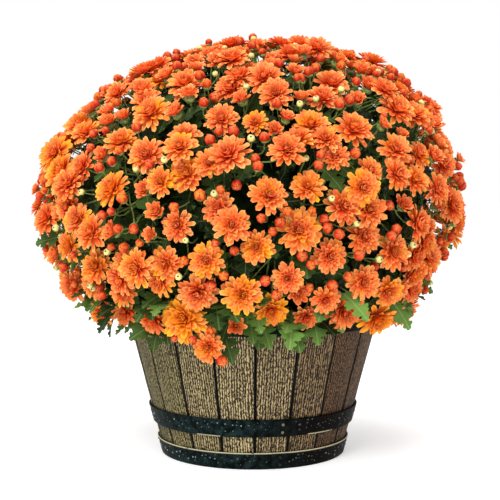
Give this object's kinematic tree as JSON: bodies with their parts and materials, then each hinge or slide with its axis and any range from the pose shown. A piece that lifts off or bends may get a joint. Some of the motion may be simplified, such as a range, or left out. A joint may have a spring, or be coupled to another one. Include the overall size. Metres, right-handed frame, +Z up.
{
  "type": "potted chrysanthemum",
  "caption": "Dense dome of double orange chrysanthemum blooms and lobed leaves, growing in a tapered half-barrel planter of staves and iron hoops.",
  "frame": {"origin": "centre of the barrel's flat underside, on the floor", "axes": "+Z up along the barrel's axis; -Y towards the viewer of the picture; +X to the viewer's right"},
  "size_m": [0.5444, 0.5533, 0.5276],
  "materials": {
    "stave": "weathered oak, ridged grain brushed with dull gold",
    "hoop": "black paint, glossy, wet with fine drops",
    "board": "raw sawn board",
    "soil": "loose dark potting mix, matt",
    "leaf": "deep green leaves with a slight sheen",
    "petal": "soft satin orange petals"
  },
  "bodies": {
    "root": {"barrel_head": "board", "foliage": "leaf", "hoop_belly": "hoop", "hoop_foot": "hoop", "hoop_rim": "hoop", "soil": "soil", "spray_01": "petal", "spray_02": "petal", "spray_03": "petal", "spray_04": "petal", "spray_05": "petal", "spray_06": "petal", "spray_07": "petal", "spray_08": "petal", "spray_09": "petal", "spray_10": "petal", "spray_11": "petal", "spray_12": "petal", "spray_13": "petal", "spray_14": "petal", "spray_15": "petal", "spray_16": "petal", "spray_17": "petal", "spray_18": "petal", "spray_19": "petal", "spray_20": "petal", "spray_21": "petal", "spray_22": "petal", "spray_23": "petal", "spray_24": "petal", "spray_25": "petal", "spray_26": "petal", "spray_27": "petal", "spray_28": "petal", "spray_29": "petal", "spray_30": "petal", "spray_31": "petal", "spray_32": "petal", "spray_33": "petal", "spray_34": "petal", "spray_35": "petal", "stave_01": "stave", "stave_02": "stave", "stave_03": "stave", "stave_04": "stave", "stave_05": "stave", "stave_06": "stave", "stave_07": "stave", "stave_08": "stave", "stave_09": "stave", "stave_10": "stave", "stave_11": "stave", "stave_12": "stave", "stave_13": "stave", "stave_14": "stave", "stave_15": "stave", "stave_16": "stave", "stave_17": "stave", "stave_18": "stave", "stave_19": "stave"}
  },
  "joints": []
}
